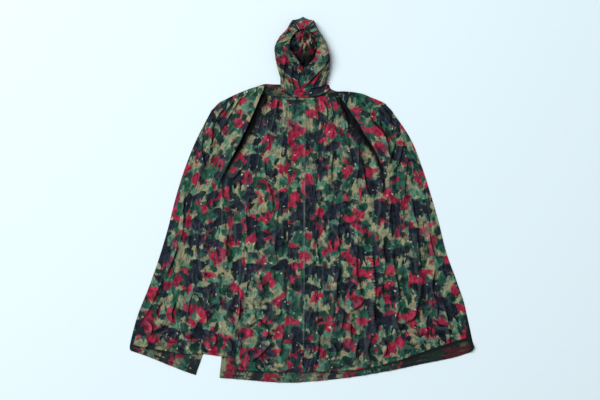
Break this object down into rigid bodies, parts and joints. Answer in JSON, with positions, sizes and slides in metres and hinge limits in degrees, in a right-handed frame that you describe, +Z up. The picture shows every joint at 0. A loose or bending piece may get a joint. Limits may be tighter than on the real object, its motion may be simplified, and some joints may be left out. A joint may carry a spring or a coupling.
{
  "type": "hooded rain poncho",
  "caption": "Hooded rain cape in camouflage cloth lying flat and face up, with a front placket, big shoulder folds, a longer back hem with a vent, and an open hood.",
  "frame": {"origin": "on the surface the cape lies on, under the middle of its overall box", "axes": "+X across the cape to the viewer's right, +Y from the hem to the tip of the hood, +Z up from the surface, out of the cape's face"},
  "size_m": [1.444, 1.5362, 0.0542],
  "materials": {
    "face_cloth": "coated nylon with a camouflage print of dark navy, crimson, green and khaki, slightly glossy",
    "inside_cloth": "inside of the coated nylon, the print showing darker and duller",
    "double_cloth": "the same nylon sewn double, flatter and a little duller"
  },
  "bodies": {
    "root": {"back_panel": "inside_cloth", "back_hem_left": "inside_cloth", "back_hem_right": "inside_cloth", "front_left": "face_cloth", "front_right": "face_cloth", "placket": "double_cloth", "neck_band": "double_cloth", "hood_left": "face_cloth", "hood_right": "face_cloth"}
  },
  "joints": []
}
